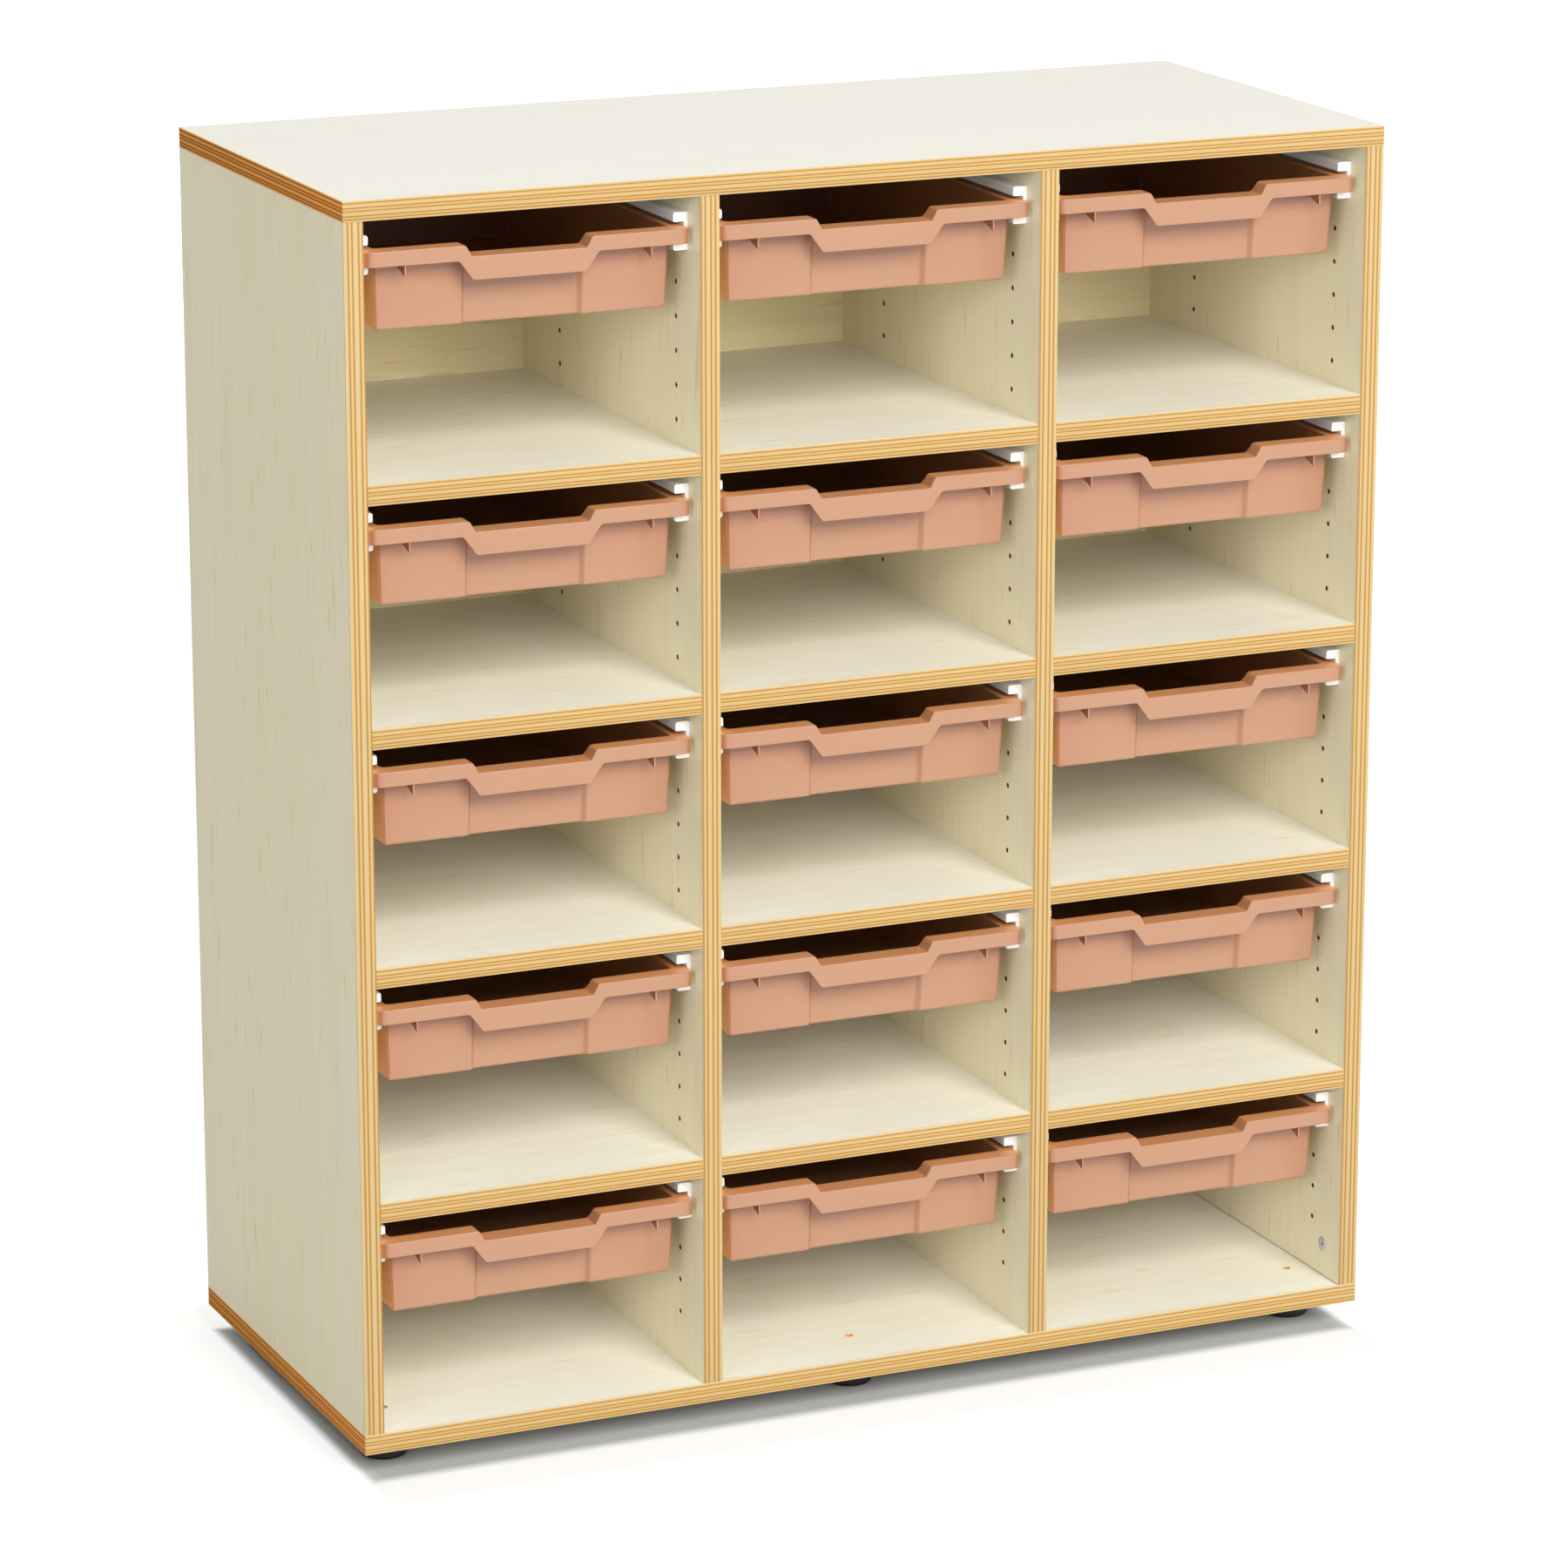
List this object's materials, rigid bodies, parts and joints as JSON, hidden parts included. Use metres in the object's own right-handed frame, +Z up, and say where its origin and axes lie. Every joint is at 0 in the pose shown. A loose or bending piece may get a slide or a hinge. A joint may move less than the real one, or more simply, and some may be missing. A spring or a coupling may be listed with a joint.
{
  "type": "classroom tray storage unit",
  "caption": "Open-fronted classroom storage unit on levelling feet: shelved bays, each with a shallow moulded tray that slides on channel runners.",
  "frame": {"origin": "on the floor, below the centre of the unit", "axes": "+X to the unit's right seen from the front, +Y to its back, +Z up; the trays pull out along -Y"},
  "size_m": [1.04, 0.45, 1.197],
  "materials": {
    "board_laminate": "satin melamine with a faint maple grain",
    "back_board": "satin melamine with a faint maple grain",
    "edge_strip": "satin, striped like the edge of plywood",
    "tray_plastic": "fine matt moulding",
    "runner_plastic": "smooth white moulding",
    "foot_plastic": "matt black moulding",
    "cam_metal": "pale zinc alloy, satin",
    "bolt_steel": "zinc plated"
  },
  "bodies": {
    "carcass": {"back_panel": "back_board", "bottom_edging": "edge_strip", "bottom_panel": "board_laminate", "cam_bolts": "bolt_steel", "cam_locks": "cam_metal", "divider_edging": "edge_strip", "foot_sockets": "foot_plastic", "left_column_left_runners": "runner_plastic", "left_column_right_runners": "runner_plastic", "left_divider": "board_laminate", "left_shelf_1": "board_laminate", "left_shelf_2": "board_laminate", "left_shelf_3": "board_laminate", "left_shelf_4": "board_laminate", "left_side_panel": "board_laminate", "middle_column_left_runners": "runner_plastic", "middle_column_right_runners": "runner_plastic", "middle_shelf_1": "board_laminate", "middle_shelf_2": "board_laminate", "middle_shelf_3": "board_laminate", "middle_shelf_4": "board_laminate", "right_column_left_runners": "runner_plastic", "right_column_right_runners": "runner_plastic", "right_divider": "board_laminate", "right_shelf_1": "board_laminate", "right_shelf_2": "board_laminate", "right_shelf_3": "board_laminate", "right_shelf_4": "board_laminate", "right_side_panel": "board_laminate", "shelf_edging": "edge_strip", "side_edging": "edge_strip", "top_edging": "edge_strip", "top_panel": "board_laminate"},
    "left_tray_1": {"left_tray_1": "tray_plastic"},
    "left_tray_2": {"left_tray_2": "tray_plastic"},
    "left_tray_3": {"left_tray_3": "tray_plastic"},
    "left_tray_4": {"left_tray_4": "tray_plastic"},
    "left_tray_5": {"left_tray_5": "tray_plastic"},
    "middle_tray_1": {"middle_tray_1": "tray_plastic"},
    "middle_tray_2": {"middle_tray_2": "tray_plastic"},
    "middle_tray_3": {"middle_tray_3": "tray_plastic"},
    "middle_tray_4": {"middle_tray_4": "tray_plastic"},
    "middle_tray_5": {"middle_tray_5": "tray_plastic"},
    "right_tray_1": {"right_tray_1": "tray_plastic"},
    "right_tray_2": {"right_tray_2": "tray_plastic"},
    "right_tray_3": {"right_tray_3": "tray_plastic"},
    "right_tray_4": {"right_tray_4": "tray_plastic"},
    "right_tray_5": {"right_tray_5": "tray_plastic"},
    "front_left_foot": {"front_left_foot": "foot_plastic"},
    "front_middle_foot": {"front_middle_foot": "foot_plastic"},
    "front_right_foot": {"front_right_foot": "foot_plastic"},
    "rear_left_foot": {"rear_left_foot": "foot_plastic"},
    "rear_middle_foot": {"rear_middle_foot": "foot_plastic"},
    "rear_right_foot": {"rear_right_foot": "foot_plastic"}
  },
  "joints": [
    {"name": "left_tray_1_slide", "type": "slide", "parent": "carcass", "child": "left_tray_1", "axis": [0, -1, 0], "range_m": [0, 0.3]},
    {"name": "left_tray_2_slide", "type": "slide", "parent": "carcass", "child": "left_tray_2", "axis": [0, -1, 0], "range_m": [0, 0.3]},
    {"name": "left_tray_3_slide", "type": "slide", "parent": "carcass", "child": "left_tray_3", "axis": [0, -1, 0], "range_m": [0, 0.3]},
    {"name": "left_tray_4_slide", "type": "slide", "parent": "carcass", "child": "left_tray_4", "axis": [0, -1, 0], "range_m": [0, 0.3]},
    {"name": "left_tray_5_slide", "type": "slide", "parent": "carcass", "child": "left_tray_5", "axis": [0, -1, 0], "range_m": [0, 0.3]},
    {"name": "middle_tray_1_slide", "type": "slide", "parent": "carcass", "child": "middle_tray_1", "axis": [0, -1, 0], "range_m": [0, 0.3]},
    {"name": "middle_tray_2_slide", "type": "slide", "parent": "carcass", "child": "middle_tray_2", "axis": [0, -1, 0], "range_m": [0, 0.3]},
    {"name": "middle_tray_3_slide", "type": "slide", "parent": "carcass", "child": "middle_tray_3", "axis": [0, -1, 0], "range_m": [0, 0.3]},
    {"name": "middle_tray_4_slide", "type": "slide", "parent": "carcass", "child": "middle_tray_4", "axis": [0, -1, 0], "range_m": [0, 0.3]},
    {"name": "middle_tray_5_slide", "type": "slide", "parent": "carcass", "child": "middle_tray_5", "axis": [0, -1, 0], "range_m": [0, 0.3]},
    {"name": "right_tray_1_slide", "type": "slide", "parent": "carcass", "child": "right_tray_1", "axis": [0, -1, 0], "range_m": [0, 0.3]},
    {"name": "right_tray_2_slide", "type": "slide", "parent": "carcass", "child": "right_tray_2", "axis": [0, -1, 0], "range_m": [0, 0.3]},
    {"name": "right_tray_3_slide", "type": "slide", "parent": "carcass", "child": "right_tray_3", "axis": [0, -1, 0], "range_m": [0, 0.3]},
    {"name": "right_tray_4_slide", "type": "slide", "parent": "carcass", "child": "right_tray_4", "axis": [0, -1, 0], "range_m": [0, 0.3]},
    {"name": "right_tray_5_slide", "type": "slide", "parent": "carcass", "child": "right_tray_5", "axis": [0, -1, 0], "range_m": [0, 0.3]},
    {"name": "front_left_foot_height", "type": "slide", "parent": "carcass", "child": "front_left_foot", "axis": [0, 0, -1], "range_m": [-0.004, 0.006]},
    {"name": "front_middle_foot_height", "type": "slide", "parent": "carcass", "child": "front_middle_foot", "axis": [0, 0, -1], "range_m": [-0.004, 0.006]},
    {"name": "front_right_foot_height", "type": "slide", "parent": "carcass", "child": "front_right_foot", "axis": [0, 0, -1], "range_m": [-0.004, 0.006]},
    {"name": "rear_left_foot_height", "type": "slide", "parent": "carcass", "child": "rear_left_foot", "axis": [0, 0, -1], "range_m": [-0.004, 0.006]},
    {"name": "rear_middle_foot_height", "type": "slide", "parent": "carcass", "child": "rear_middle_foot", "axis": [0, 0, -1], "range_m": [-0.004, 0.006]},
    {"name": "rear_right_foot_height", "type": "slide", "parent": "carcass", "child": "rear_right_foot", "axis": [0, 0, -1], "range_m": [-0.004, 0.006]}
  ]
}
